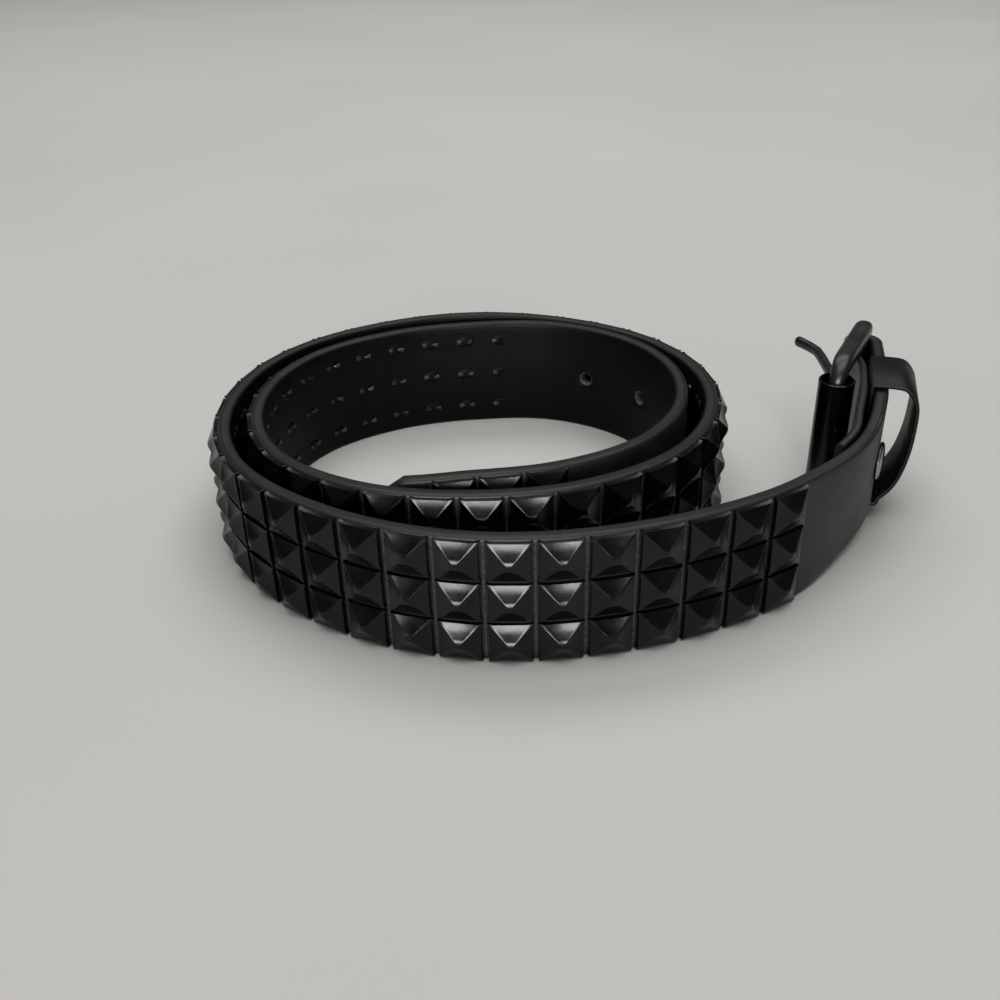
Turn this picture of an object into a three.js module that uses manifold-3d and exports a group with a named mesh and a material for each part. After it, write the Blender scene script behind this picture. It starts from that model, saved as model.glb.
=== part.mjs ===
// A studded belt, loosely coiled and standing on its edge, with its buckle folded back.
// Millimetres, +Z up. +X runs to the right along the longest extent, +Y away from the viewer.
// The origin is at the middle of the footprint, on the surface that the belt stands on.
import * as THREE from 'three';
import { mergeVertices } from 'three/addons/utils/BufferGeometryUtils.js';
import Module from 'manifold-3d';

const wasm = await Module();
wasm.setup();

// Strap
const strapHeight = 38;
const strapThickness = 4;
const tipPlain = 24;
const tipTaper = 17;
const tipEndHeight = 14;
const tailPlain = 92.3;
const plainStretch = 157.2;
const sectionStep = 6;

// Studs
const studRows = 3;
const mainColumns = 59;
const tipColumns = 3;
const studBase = 12.2;
const studColumnPitch = 12.83;
const studRowGap = 0.3;
const studHeight = 4.4;
const studWall = 1.1;
const settingThickness = 0.5;

// Adjusting holes
const holeCount = 5;
const holeDiameter = 4.4;
const holePitch = 25.4;
const lastHoleToStuds = 33.5;

// Coil
const coilRadius = 66;
const tailLength = 139.6;
const tailLean = 0.08;

// Fold round the heel bar, and its return flap
const flapThickness = 2.6;
const flapLength = 72;
const foldTaperLength = 22;
const flapCloseGap = 0.6;
const slotHeight = 9;
const slotReach = 16;

// Buckle
const barDiameter = 4.8;
const frameLength = 34.4;
const frameAngle = 15.2;
const sideBarWidth = 5.9;
const sideBarHeight = 5.6;
const sideBarClearance = 0.35;
const rollerDiameter = 10.8;
const rollerWall = 0.9;
const tongueDiameter = 3.5;
const tongueLength = 44.4;
const tongueAngle = 11.5;
const tongueTipLength = 11;
const tongueTipBend = 24;
const tongueDroop = 0.6;
const tongueRingHeight = 5.6;
const tongueRingWall = 1.8;

// Keeper and snap
const keeperWidth = 22;
const keeperThickness = 1.3;
const keeperStart = 17;
const keeperBulge = 9.4;
const snapStation = 45.6;
const snapCapDiameter = 11.6;
const snapCapHeight = 1.6;
const snapPostDiameter = 3.4;
const snapSocketDiameter = 10.4;
const snapSocketHeight = 2.2;

// Room between pieces
const clearance = 0.3;

const degrees = Math.PI / 180;
const up = new THREE.Vector3(0, 0, 1);

// Derived lengths along the strap, measured from the heel bar towards the tip
const mainLength = mainColumns * studColumnPitch;
const tipFieldLength = tipColumns * studColumnPitch;
const tipFieldStart = tailPlain + mainLength + plainStretch;
const strapLength = tipFieldStart + tipFieldLength + tipPlain;
const studFieldHeight = studRows * studBase + (studRows - 1) * studRowGap;
const frameLift = sideBarHeight + sideBarClearance;
const barRadius = barDiameter / 2;
const barGap = barDiameter + 2 * clearance;
const keeperGap = keeperThickness + 2 * clearance;

// The coil is drawn round its middle. The first turn's radii are shares of coilRadius.
const turnStep = 30;
const firstAngle = -120;
const firstTurn = [
  { angle: -120, radius: 0.892 },
  { angle: -90, radius: 0.776 },
  { angle: -60, radius: 0.814 },
  { angle: -30, radius: 0.918 },
  { angle: 0, radius: 1.0 },
  { angle: 30, radius: 1.023 },
  { angle: 60, radius: 0.968 },
  { angle: 90, radius: 0.883 },
  { angle: 120, radius: 0.9 },
  { angle: 150, radius: 0.971 },
  { angle: 180, radius: 1.0 },
  { angle: 210, radius: 1.003 },
];

// Each later turn lies on the one inside it: the studs between them, as a share of the
// stud height, and the air left over, as a share of coilRadius.
const laterTurns = [
  { angle: 240, studs: 0, air: 0.008 },
  { angle: 270, studs: 1, air: 0.036 },
  { angle: 300, studs: 1, air: 0.06 },
  { angle: 330, studs: 0, air: 0.115 },
  { angle: 360, studs: 0, air: 0.068 },
  { angle: 390, studs: 0, air: 0.021 },
  { angle: 420, studs: 0, air: 0.013 },
  { angle: 450, studs: 1, air: 0.017 },
  { angle: 480, studs: 1, air: 0.015 },
  { angle: 510, studs: 1, air: 0.008 },
  { angle: 540, studs: 1, air: 0.012 },
  { angle: 570, studs: 1, air: 0.04 },
  { angle: 600, studs: 1, air: 0.085 },
  { angle: 630, studs: 1, air: 0.18 },
  { angle: 660, studs: 1, air: 0.256 },
  { angle: 690, studs: 1, air: 0.432 },
  { angle: 720, studs: 1, air: 0.67 },
];
const leavingAngle = 660;
const innermostAngle = -480;

function smooth(from, to, value) {
  return THREE.MathUtils.smoothstep(value, from, to);
}

function mix(a, b, share) {
  return THREE.MathUtils.lerp(a, b, share);
}

// Radius of the strap's middle line at each step of the coil, from the inside out.
function coilRadii() {
  const radii = new Map();
  for (const row of firstTurn) radii.set(row.angle, row.radius * coilRadius);
  for (const row of laterTurns) {
    const inside = radii.get(row.angle - 360);
    const gap = row.studs * studHeight + row.air * coilRadius;
    radii.set(row.angle, inside + strapThickness + gap);
  }
  const pitch = strapThickness + studHeight + clearance;
  for (let angle = firstAngle - turnStep; angle >= innermostAngle - turnStep; angle -= turnStep) {
    radii.set(angle, radii.get(angle + 360) - pitch);
  }
  return radii;
}

const radii = coilRadii();

function coilPoint(angle) {
  const start = Math.floor(angle / turnStep) * turnStep;
  const share = (angle - start) / turnStep;
  const [a, b, c, d] = [-1, 0, 1, 2].map((step) => radii.get(start + step * turnStep));
  const bend = 2 * b + (c - a) * share + (2 * a - 5 * b + 4 * c - d) * share ** 2
    + (3 * b - a - 3 * c + d) * share ** 3;
  const turn = angle * degrees;
  return new THREE.Vector3(Math.cos(turn), Math.sin(turn), 0).multiplyScalar(bend / 2);
}

// Past the coil the tail keeps turning left: the turn so far, in degrees, by the share of
// tailLength that it has run.
const tailBends = [
  { along: 0, turn: 0.4 },
  { along: 0.19, turn: 10.7 },
  { along: 0.37, turn: 22 },
  { along: 0.47, turn: 29.7 },
  { along: 0.57, turn: 39.8 },
  { along: 0.66, turn: 50.8 },
  { along: 0.74, turn: 58.6 },
  { along: 0.86, turn: 61.6 },
  { along: 1, turn: 62.6 },
];

function tailTurn(along) {
  const next = tailBends.find((row, index) => index > 0 && along <= row.along);
  const last = tailBends[tailBends.indexOf(next) - 1];
  const share = (along - last.along) / (next.along - last.along);
  return mix(last.turn, next.turn, share) * degrees;
}

function tailPoints(start, ahead) {
  const steps = 48;
  const points = [];
  let point = start.clone();
  for (let step = 0; step < steps; step++) {
    const heading = ahead.clone().applyAxisAngle(up, tailTurn((step + 0.5) / steps));
    point = point.clone().addScaledVector(heading, tailLength / steps);
    points.unshift(point);
  }
  return points;
}

// The route of the strap's middle line, from the heel bar inwards.
function strapRoute() {
  const last = coilPoint(leavingAngle);
  const ahead = last.clone().sub(coilPoint(leavingAngle - 1)).normalize();
  const points = tailPoints(last, ahead);
  for (let angle = leavingAngle; angle >= innermostAngle; angle -= 3) points.push(coilPoint(angle));
  const curve = new THREE.CatmullRomCurve3(points);
  curve.arcLengthDivisions = points.length * 12;
  return curve;
}

const route = strapRoute();
const routeLength = route.getLength();

// How far the strap's lower edge stands above the surface, where the taller buckle lifts it.
function lift(along) {
  return frameLift * (1 - smooth(tailPlain * 0.33, tailPlain * 1.1, along));
}

// How far the plain tail leans outward, as a slope, between the keeper and the studs.
function lean(along) {
  const share = THREE.MathUtils.clamp((along - tailPlain * 0.46) / (tailPlain * 0.54), 0, 1);
  return tailLean * Math.sin(Math.PI * share) ** 2;
}

// A place on the route: its point, the way to the tip, and the outward side of the strap.
function station(along) {
  const share = along / routeLength;
  const point = route.getPointAt(share);
  const ahead = route.getTangentAt(share);
  return { point, ahead, side: up.clone().cross(ahead), lift: lift(along), lean: lean(along) };
}

function at(place, outward, height) {
  const leaning = place.lean * (height - strapHeight / 2);
  const point = place.point.clone().addScaledVector(place.side, outward + leaning);
  point.z += height + place.lift;
  return point;
}

// A long box whose sections follow a list of places along it.
function bentBar(sections) {
  const steps = sections.length - 1;
  const bar = new THREE.BoxGeometry(1, 1, 1, steps, 1, 1);
  const position = bar.attributes.position;
  for (let index = 0; index < position.count; index++) {
    const section = sections[Math.round((position.getX(index) + 0.5) * steps)];
    const outward = position.getY(index) > 0 ? section.outer : section.inner;
    const height = position.getZ(index) > 0 ? section.high : section.low;
    position.setXYZ(index, ...at(section.place, outward, height).toArray());
  }
  return bar;
}

// Closed solids, joined and cut
function solid(geometry) {
  geometry.deleteAttribute('normal');
  geometry.deleteAttribute('uv');
  const merged = mergeVertices(geometry, 1e-4);
  const vertProperties = new Float32Array(merged.attributes.position.array);
  const triVerts = new Uint32Array(merged.index.array);
  return new wasm.Manifold(new wasm.Mesh({ numProp: 3, vertProperties, triVerts }));
}

function surface(manifold) {
  const mesh = manifold.getMesh();
  const geometry = new THREE.BufferGeometry();
  geometry.setAttribute('position', new THREE.BufferAttribute(mesh.vertProperties, 3));
  geometry.setIndex(new THREE.BufferAttribute(mesh.triVerts, 1));
  return geometry;
}

function joined(geometries) {
  return geometries.map(solid).reduce((whole, piece) => whole.add(piece));
}

// Turns a shape made with X along the strap, Y outward and Z up to its place on the strap.
function placed(geometry, place, outward, height) {
  const upward = up.clone().addScaledVector(place.side, place.lean);
  const matrix = new THREE.Matrix4().makeBasis(place.ahead, place.side, upward);
  matrix.setPosition(at(place, outward, height));
  return geometry.applyMatrix4(matrix);
}

// Strap
function stepsBetween(from, to, step) {
  const count = Math.max(1, Math.ceil((to - from) / step));
  return Array.from({ length: count }, (_, index) => from + (to - from) * index / count);
}

function columnEdges(start, columns) {
  const groove = (studColumnPitch - studBase) / 2;
  const edges = [];
  for (let column = 0; column < columns; column++) {
    const left = start + column * studColumnPitch;
    edges.push(left + groove, left + studColumnPitch - groove);
  }
  return edges;
}

function strapStations() {
  const taperStart = strapLength - tipTaper;
  return [
    ...stepsBetween(0, tailPlain, sectionStep),
    ...columnEdges(tailPlain, mainColumns),
    ...stepsBetween(tailPlain + mainLength, tipFieldStart, sectionStep),
    ...columnEdges(tipFieldStart, tipColumns),
    ...stepsBetween(tipFieldStart + tipFieldLength, taperStart, sectionStep),
    ...stepsBetween(taperStart, strapLength, tipTaper / 6),
    strapLength,
  ];
}

function tipCut(along) {
  const share = Math.max(0, (along - strapLength + tipTaper) / tipTaper);
  return share * (strapHeight - tipEndHeight) / 2;
}

function flapGap(along) {
  const nearKeeper = mix(barGap, keeperGap, smooth(barRadius, foldTaperLength, along));
  const snapEnd = snapStation + snapSocketDiameter / 2;
  return mix(nearKeeper, flapCloseGap, smooth(snapEnd, snapEnd + 2 * sectionStep, along));
}

// The flap's places run back from its end to the heel bar, so its outward side is the inside.
function flapSection(along) {
  const place = station(along);
  place.side.negate();
  place.ahead.negate();
  place.lean = -place.lean;
  const inner = strapThickness / 2 + flapGap(along);
  return { place, inner, outer: inner + flapThickness, low: 0, high: strapHeight };
}

function heelPlace() {
  const place = station(0);
  place.point.addScaledVector(place.side, -(strapThickness / 2 + clearance + barRadius));
  return place;
}

function foldSection(share) {
  const heel = heelPlace();
  const turn = Math.PI * (1 - share);
  const side = heel.side.clone().applyAxisAngle(up, turn);
  const place = { point: heel.point, ahead: heel.ahead, side, lift: heel.lift, lean: 0 };
  const inner = barRadius + clearance;
  const outer = inner + mix(flapThickness, strapThickness, share);
  return { place, inner, outer, low: 0, high: strapHeight };
}

function strap() {
  const flap = stepsBetween(0, flapLength, sectionStep).map((along) => flapLength - along);
  const foldSteps = 10;
  const fold = Array.from({ length: foldSteps - 1 }, (_, step) => (step + 1) / foldSteps);
  const half = strapThickness / 2;
  const sections = [
    ...flap.map(flapSection),
    flapSection(0),
    ...fold.map(foldSection),
    ...strapStations().map((along) => {
      const cut = tipCut(along);
      return { place: station(along), inner: -half, outer: half, low: cut, high: strapHeight - cut };
    }),
  ];
  let body = solid(bentBar(sections));
  body = body.subtract(tongueSlot());
  for (const hole of adjustingHoles()) body = body.subtract(hole);
  return surface(body.subtract(snapHole()));
}

function tongueSlot() {
  const past = barRadius + clearance + 2 * strapThickness;
  const slot = new THREE.BoxGeometry(slotReach + past, 6 * strapThickness, slotHeight);
  slot.translate((slotReach - past) / 2, 0, strapHeight / 2);
  return solid(placed(slot, heelPlace(), 0, 0));
}

function adjustingHoles() {
  const last = tailPlain + mainLength + lastHoleToStuds;
  return Array.from({ length: holeCount }, (_, index) => {
    const drill = new THREE.CylinderGeometry(holeDiameter / 2, holeDiameter / 2, 2 * strapThickness, 12);
    return solid(placed(drill, station(last + index * holePitch), 0, strapHeight / 2));
  });
}

function snapHole() {
  const radius = snapPostDiameter / 2 + clearance;
  const drill = new THREE.CylinderGeometry(radius, radius, 5 * strapThickness, 12);
  return solid(placed(drill, station(snapStation), 0, strapHeight / 2));
}

// Stud fields: pyramids on short square walls, fused to one thin strip under each field.
function stud() {
  const sunk = settingThickness / 2;
  const radius = studBase / Math.SQRT2;
  const wall = new THREE.BoxGeometry(studBase, studWall + sunk, studBase);
  wall.translate(0, (studWall - sunk) / 2, 0);
  const peak = new THREE.ConeGeometry(radius, studHeight - settingThickness - clearance - studWall, 4, 1);
  peak.rotateY(Math.PI / 4);
  peak.translate(0, studWall + peak.parameters.height / 2, 0);
  return joined([wall, peak]);
}

function studField(start, columns) {
  const face = strapThickness / 2 + clearance;
  const low = (strapHeight - studFieldHeight) / 2;
  const strip = columnEdges(start, columns).map((along) => ({
    place: station(along), inner: face, outer: face + settingThickness, low, high: low + studFieldHeight,
  }));
  const edges = columnEdges(start, columns);
  let field = solid(bentBar(strip));
  const pattern = surface(stud());
  for (let column = 0; column < columns; column++) {
    const place = chordPlace(edges[2 * column], edges[2 * column + 1]);
    for (let row = 0; row < studRows; row++) {
      const height = low + studBase / 2 + row * (studBase + studRowGap);
      field = field.add(solid(placed(pattern.clone(), place, face + settingThickness, height)));
    }
  }
  return surface(field);
}

// The flat between two places: a stud's base is rigid, so the strap is flat under it.
function chordPlace(from, to) {
  const [a, b] = [station(from), station(to)];
  const ahead = b.point.clone().sub(a.point).normalize();
  const point = a.point.clone().add(b.point).multiplyScalar(0.5);
  return { point, ahead, side: up.clone().cross(ahead), lift: (a.lift + b.lift) / 2, lean: 0 };
}

// Buckle frame: two side bars with round ends, the heel bar and the bar inside the roller.
const frameHeight = strapHeight + 2 * frameLift;

function framePlace() {
  const heel = heelPlace();
  const ahead = heel.ahead.clone().applyAxisAngle(up, -frameAngle * degrees);
  return { point: heel.point, ahead, side: up.clone().cross(ahead), lift: 0, lean: 0 };
}

function buckleFrame() {
  const half = sideBarWidth / 2;
  const outline = new THREE.Shape();
  outline.absarc(0, 0, half, Math.PI / 2, 3 * Math.PI / 2);
  outline.absarc(frameLength, 0, half, -Math.PI / 2, Math.PI / 2);
  const sideBar = new THREE.ExtrudeGeometry(outline, {
    depth: sideBarHeight, bevelEnabled: false, curveSegments: 8,
  });
  const upper = sideBar.clone().translate(0, 0, frameHeight - sideBarHeight);
  const bars = [0, frameLength].map((along) => {
    const bar = new THREE.CylinderGeometry(barRadius, barRadius, frameHeight - sideBarHeight, 16);
    return bar.rotateX(Math.PI / 2).translate(along, 0, frameHeight / 2);
  });
  return placed(surface(joined([sideBar, upper, ...bars])), framePlace(), 0, 0);
}

function roller() {
  const outer = rollerDiameter / 2;
  const inner = outer - rollerWall;
  const half = strapHeight / 2 + sideBarClearance - clearance;
  const profile = [[inner, -half], [outer, -half], [outer, half], [inner, half], [inner, -half]]
    .map(([radius, height]) => new THREE.Vector2(radius, height));
  const tube = new THREE.LatheGeometry(profile, 24).rotateX(Math.PI / 2);
  return placed(tube.translate(frameLength, 0, 0), framePlace(), 0, frameHeight / 2);
}

// Tongue: a ring round the heel bar and one rod, which leaves it tangentially and has a bent tip.
function tongue() {
  const heel = heelPlace();
  const ahead = heel.ahead.clone().applyAxisAngle(up, Math.PI + tongueAngle * degrees);
  const place = { point: heel.point, ahead, side: up.clone().cross(ahead), lift: heel.lift, lean: 0 };
  const inner = barRadius + clearance;
  const outer = inner + tongueRingWall;
  const half = tongueRingHeight / 2;
  const profile = [[inner, -half], [outer, -half], [outer, half], [inner, half], [inner, -half]]
    .map(([radius, height]) => new THREE.Vector2(radius, height));
  const ring = new THREE.LatheGeometry(profile, 20).rotateX(Math.PI / 2);
  const bend = tongueTipBend * degrees;
  const straight = tongueLength - tongueTipLength;
  const offset = inner + tongueRingWall / 2;
  const tipOffset = offset + tongueTipLength * Math.tan(bend);
  const points = [0, 0.33, 0.67, 1].map((share) => {
    const reach = mix(inner, straight, share);
    return new THREE.Vector3(reach, offset, -tongueDroop * reach / tongueLength);
  });
  points.push(
    new THREE.Vector3(mix(straight, tongueLength, 0.5), mix(offset, tipOffset, 0.4), -tongueDroop),
    new THREE.Vector3(tongueLength, tipOffset, -tongueDroop),
  );
  const section = new THREE.Shape();
  section.absarc(0, 0, tongueDiameter / 2, 0, 2 * Math.PI);
  const rod = new THREE.ExtrudeGeometry(section, {
    extrudePath: new THREE.CatmullRomCurve3(points), steps: 16, bevelEnabled: false, curveSegments: 5,
  });
  return placed(surface(joined([ring, rod])), place, 0, strapHeight / 2);
}

// Keeper: a loop of thin leather round the strap only, tucked between it and the flap.
// Its middle line is given as shares: out of keeperBulge, up of strapHeight.
const keeperBends = [
  { out: 0.36, up: 1.025 },
  { out: 0.67, up: 0.99 },
  { out: 0.9, up: 0.91 },
  { out: 0.985, up: 0.82 },
  { out: 1, up: 0.66 },
  { out: 0.965, up: 0.5 },
  { out: 0.86, up: 0.34 },
  { out: 0.69, up: 0.2 },
  { out: 0.46, up: 0.1 },
  { out: 0.21, up: 0.03 },
];

// Moves each corner of a closed line outward so that its sides move by the same distance.
function widened(line, distance) {
  return line.map((corner, index) => {
    const last = line[(index + line.length - 1) % line.length];
    const next = line[(index + 1) % line.length];
    const [before, after] = [corner.clone().sub(last).normalize(), next.clone().sub(corner).normalize()];
    const normal = new THREE.Vector2(before.y + after.y, -before.x - after.x).normalize();
    const stretch = distance / (normal.x * after.y - normal.y * after.x);
    return corner.clone().addScaledVector(normal, stretch);
  });
}

function keeper() {
  const half = keeperThickness / 2;
  const over = clearance + half;
  const tuck = -(strapThickness + over);
  const middle = [
    ...keeperBends.map((row) => [row.out * (keeperBulge - half), row.up * strapHeight]),
    [over, -over],
    [tuck, -over],
    [tuck, strapHeight + over],
  ].map(([out, height]) => new THREE.Vector2(out, height)).reverse();
  const shape = new THREE.Shape(widened(middle, half));
  shape.holes.push(new THREE.Path(widened(middle, -half)));
  const band = new THREE.ExtrudeGeometry(shape, { depth: keeperWidth, bevelEnabled: false });
  const turned = new THREE.Matrix4().makeBasis(new THREE.Vector3(0, 1, 0), up, new THREE.Vector3(1, 0, 0));
  band.applyMatrix4(turned).translate(-keeperWidth / 2, 0, 0);
  return placed(band, station(keeperStart + keeperWidth / 2), strapThickness / 2, 0);
}

// Snap: the cap and post through both layers, and the socket on the flap's far side.
function snapCap() {
  const face = strapThickness / 2 + clearance;
  const back = -(strapThickness / 2 + flapGap(snapStation) + flapThickness);
  const outer = snapCapDiameter / 2;
  const post = snapPostDiameter / 2;
  const profile = [
    [0, back], [post, back], [post, face], [outer, face], [outer, face + snapCapHeight * 0.4],
    [outer * 0.8, face + snapCapHeight * 0.9], [outer * 0.4, face + snapCapHeight], [0, face + snapCapHeight],
  ].map(([radius, height]) => new THREE.Vector2(radius, height));
  const cap = new THREE.LatheGeometry(profile, 20);
  return placed(cap, station(snapStation), 0, strapHeight / 2);
}

function snapSocket() {
  const back = strapThickness / 2 + flapGap(snapStation) + flapThickness + clearance;
  const outer = snapSocketDiameter / 2;
  const profile = [
    [0, -back - snapSocketHeight], [outer * 0.85, -back - snapSocketHeight],
    [outer, -back - snapSocketHeight / 2], [outer, -back], [0, -back],
  ].map(([radius, height]) => new THREE.Vector2(radius, height));
  const socket = new THREE.LatheGeometry(profile, 20);
  return placed(socket, station(snapStation), 0, strapHeight / 2);
}

// Finishes and the assembled belt
const leather = { color: 0x16161a, roughness: 0.5, metalness: 0 };
const lacquer = { color: 0x0b0b0e, roughness: 0.22, metalness: 0.3 };
const blackMetal = { color: 0x1a1a1c, roughness: 0.35, metalness: 0.6 };
const nickel = { color: 0xb9b9b4, roughness: 0.3, metalness: 1 };

const belt = new THREE.Group();

function piece(name, geometry, finish) {
  const mesh = new THREE.Mesh(geometry, new THREE.MeshStandardMaterial(finish));
  mesh.name = name;
  belt.add(mesh);
}

piece('strap', strap(), leather);
piece('studs_main', studField(tailPlain, mainColumns), lacquer);
piece('studs_tip', studField(tipFieldStart, tipColumns), lacquer);
piece('buckle_frame', buckleFrame(), blackMetal);
piece('roller', roller(), blackMetal);
piece('tongue', tongue(), blackMetal);
piece('keeper', keeper(), leather);
piece('snap_cap', snapCap(), nickel);
piece('snap_socket', snapSocket(), nickel);

// The origin goes to the middle of the footprint, at the surface.
const box = new THREE.Box3().setFromObject(belt);
const middle = box.getCenter(new THREE.Vector3());
belt.position.set(-middle.x, -middle.y, -box.min.z);
belt.updateMatrixWorld(true);

export default belt;
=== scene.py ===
# %% [markdown]
# A studded belt, coiled on its edge.
# The belt is a black leather strap with three rows of pyramid studs. It stands on its lower
# edge in a loose coil, and its roller buckle is folded back beside the last turn.
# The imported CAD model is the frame: every piece below is made in metres at the place that
# the frame gives, and rides on one of its bodies.

# %% Load the frame
import math
import random
from bisect import bisect_right

import bmesh
import bpy
from mathutils import Matrix, Vector


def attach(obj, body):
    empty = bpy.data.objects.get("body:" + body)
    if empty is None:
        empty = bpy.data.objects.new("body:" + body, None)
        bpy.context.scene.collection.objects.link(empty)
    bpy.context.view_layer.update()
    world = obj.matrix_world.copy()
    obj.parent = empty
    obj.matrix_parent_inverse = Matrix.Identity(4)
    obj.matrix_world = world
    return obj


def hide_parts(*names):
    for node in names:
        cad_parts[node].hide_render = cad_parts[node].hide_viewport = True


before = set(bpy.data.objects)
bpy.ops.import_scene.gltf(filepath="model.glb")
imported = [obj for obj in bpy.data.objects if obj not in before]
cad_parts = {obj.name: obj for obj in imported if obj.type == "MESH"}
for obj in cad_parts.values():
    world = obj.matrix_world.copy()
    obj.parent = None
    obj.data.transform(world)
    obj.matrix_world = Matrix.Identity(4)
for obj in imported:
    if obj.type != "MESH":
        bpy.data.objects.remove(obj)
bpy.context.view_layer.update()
UP = Vector((0, 0, 1))
MM = 0.001

# %% [markdown]
# The camera and the light come first, because every later choice is judged through them.
# The photograph looks down at the belt by about 31 degrees with a mild wide-angle lens, and
# its horizon is rolled by a degree or two.

# %% Camera
CAMERA_PLACE = Vector((-20.7, -301.2, 182.7)) * MM
CAMERA_PITCH = math.radians(30.83)
CAMERA_ROLL = math.radians(-1.6)
CAMERA_LENS = 38.99
CAMERA_SENSOR = 36
camera_data = bpy.data.cameras.new("camera")
camera_data.lens = CAMERA_LENS
camera_data.sensor_width = CAMERA_SENSOR
camera_data.clip_start = 0.01
camera = bpy.data.objects.new("camera", camera_data)
camera.matrix_world = (
    Matrix.Translation(CAMERA_PLACE)
    @ Matrix.Rotation(math.radians(90) - CAMERA_PITCH, 4, "X")
    @ Matrix.Rotation(CAMERA_ROLL, 4, "Z")
)
bpy.context.collection.objects.link(camera)
bpy.context.scene.camera = camera
bpy.context.scene.view_settings.view_transform = "Standard"
print("camera height", round(CAMERA_PLACE.z, 3))

# %% [markdown]
# Glossy black lacquer shows little of its own colour. What one sees is the room it mirrors, so
# the lamps are placed for their reflections: one long low lamp in front makes the bright upper
# facets of the middle columns, and wide soft ones overhead light the floor. The low lamp is kept
# out of diffuse light, so that it lays no shadow.

# %% Lights and world
SKY_COLOUR = (0.86, 0.93, 1.0, 1)
SKY_STRENGTH = 0.1
WARM_WHITE = (1.0, 0.98, 0.95)
world = bpy.data.worlds.new("studio")
world.use_nodes = True
bpy.context.scene.world = world
sky = world.node_tree.nodes["Background"]
sky.inputs["Color"].default_value = SKY_COLOUR
sky.inputs["Strength"].default_value = SKY_STRENGTH


def softbox(name, place, target, size, power, colour=(1, 1, 1)):
    """A rectangular lamp, in metres and watts, turned towards its target."""
    lamp = bpy.data.lights.new(name, "AREA")
    lamp.shape = "RECTANGLE"
    lamp.size, lamp.size_y = size
    lamp.energy = power
    lamp.color = colour
    holder = bpy.data.objects.new(name, lamp)
    holder.location = place
    holder.rotation_euler = (Vector(target) - Vector(place)).to_track_quat("-Z", "Y").to_euler()
    bpy.context.collection.objects.link(holder)
    return holder


softbox("overhead", (0.05, -0.3, 1.6), (0, 0.05, 0), (1.8, 1.2), 18.5, WARM_WHITE)
front = softbox("front", (-0.19, -1.25, 0.34), (-0.03, 0, 0.02), (0.86, 0.34), 20)
front.visible_diffuse = False
softbox("background", (0, 1.2, 2.0), (0, 1.5, 0), (2.4, 1.2), 26, WARM_WHITE)

# %% [markdown]
# The strap's route is the belt's whole pose, and it starts from the strap's own measures. Every
# length runs from the heel bar towards the tip, because a belt is made flat, end to end.

# %% Measures of the strap
STRAP_HEIGHT = 38 * MM
STRAP_THICKNESS = 4 * MM
HALF_THICK = STRAP_THICKNESS / 2
MID_HEIGHT = STRAP_HEIGHT / 2
TAIL_PLAIN = 92.3 * MM
STUD_PITCH = 12.83 * MM
STUD_BASE = 12.2 * MM
STUD_ROW_GAP = 0.3 * MM
STUD_ROW_PITCH = STUD_BASE + STUD_ROW_GAP
STUD_HEIGHT = 4.4 * MM
MAIN_COLUMNS = 59
TIP_COLUMNS = 3
PLAIN_STRETCH = 157.2 * MM
TIP_PLAIN = 24 * MM
TIP_TAPER = 17 * MM
TIP_END_HEIGHT = 14 * MM
MAIN_END = TAIL_PLAIN + MAIN_COLUMNS * STUD_PITCH
TIP_FIELD_START = MAIN_END + PLAIN_STRETCH
STRAP_LENGTH = TIP_FIELD_START + TIP_COLUMNS * STUD_PITCH + TIP_PLAIN
CLEARANCE = 0.3 * MM
FRAME_LIFT = 5.95 * MM
print("strap length", round(STRAP_LENGTH, 4))

# %% [markdown]
# A plain spiral would be too even for this coil, which springs open and where each turn lies on
# the one inside it. So it is a table of radii: the first turn as shares of one radius, and for
# each later turn whether studs lie between the two, and how much air. The tail that leaves the
# coil is a table of how far it has turned.

# %% The coil and the tail
COIL_CENTRE = Vector((-28.74, 7.774, 0)) * MM
COIL_RADIUS = 66 * MM
TURN_STEP = 30
first_turn = {
    -120: 0.892, -90: 0.776, -60: 0.814, -30: 0.918, 0: 1.0, 30: 1.023,
    60: 0.968, 90: 0.883, 120: 0.9, 150: 0.971, 180: 1.0, 210: 1.003,
}
later_turns = {
    240: (0, 0.008), 270: (1, 0.036), 300: (1, 0.06), 330: (0, 0.115), 360: (0, 0.068),
    390: (0, 0.021), 420: (0, 0.013), 450: (1, 0.017), 480: (1, 0.015), 510: (1, 0.008),
    540: (1, 0.012), 570: (1, 0.04), 600: (1, 0.085), 630: (1, 0.18), 660: (1, 0.256),
    690: (1, 0.432), 720: (1, 0.67),
}
LEAVING_ANGLE = 660
INNER_ANGLE = -180
TAIL_LENGTH = 139.6 * MM
TAIL_STEPS = 480
tail_bends = [
    (0, 0.4), (0.19, 10.7), (0.37, 22), (0.47, 29.7), (0.57, 39.8),
    (0.66, 50.8), (0.74, 58.6), (0.86, 61.6), (1, 62.6),
]


def coil_radii():
    """The radius at every step of the turns, guessed where the innermost ones are hidden."""
    radii = {angle: share * COIL_RADIUS for angle, share in first_turn.items()}
    for angle, (studs, air) in later_turns.items():
        radii[angle] = radii[angle - 360] + STRAP_THICKNESS + studs * STUD_HEIGHT + air * COIL_RADIUS
    pitch = STRAP_THICKNESS + STUD_HEIGHT + CLEARANCE
    for angle in range(-150, INNER_ANGLE - 3 * TURN_STEP, -TURN_STEP):
        radii[angle] = radii[angle + 360] - pitch
    return radii


radii = coil_radii()


def curve_through(a, b, c, d, t):
    """A smooth curve from b to c that heads for its neighbours a and d."""
    return (2 * b + (c - a) * t + (2 * a - 5 * b + 4 * c - d) * t**2 + (3 * b - a - 3 * c + d) * t**3) / 2


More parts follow.
